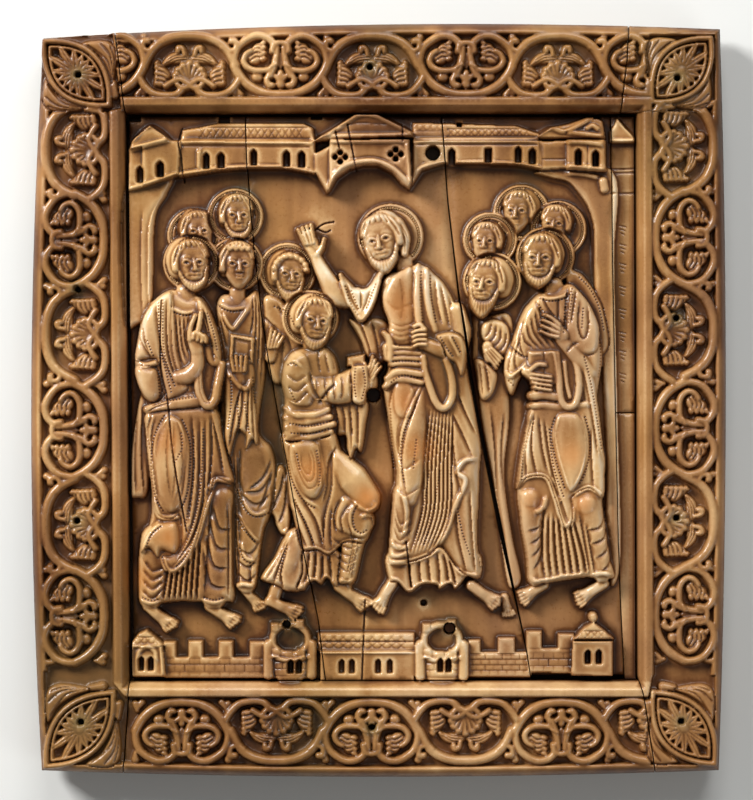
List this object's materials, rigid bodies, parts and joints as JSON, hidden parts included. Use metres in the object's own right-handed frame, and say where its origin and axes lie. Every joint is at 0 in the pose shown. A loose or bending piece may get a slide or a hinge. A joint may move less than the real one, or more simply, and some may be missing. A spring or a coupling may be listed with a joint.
{
  "type": "relief plaque",
  "caption": "Carved ivory relief plaque: standing and kneeling figures under small buildings, inside a vine-scroll frame, on a thin wooden board.",
  "frame": {"origin": "middle of the flat back face of the wooden board, on the surface the plaque lies on", "axes": "+Z out of the carving, towards the viewer; +Y towards the top of the picture; +X towards the right of the picture"},
  "size_m": [0.2016, 0.2185, 0.0192],
  "materials": {
    "honey_ivory": "satin, aged",
    "dark_ivory": "satin, aged",
    "pale_ivory": "satin",
    "old_wood": "matt, dark"
  },
  "bodies": {
    "root": {"backing_board": "old_wood", "frame_top": "honey_ivory", "frame_bottom": "honey_ivory", "frame_left": "honey_ivory", "frame_right": "honey_ivory", "panel_left": "dark_ivory", "panel_centre": "honey_ivory", "panel_right": "dark_ivory", "edge_strip_upper": "dark_ivory", "edge_strip_lower": "dark_ivory", "ivory_peg": "pale_ivory"}
  },
  "joints": []
}
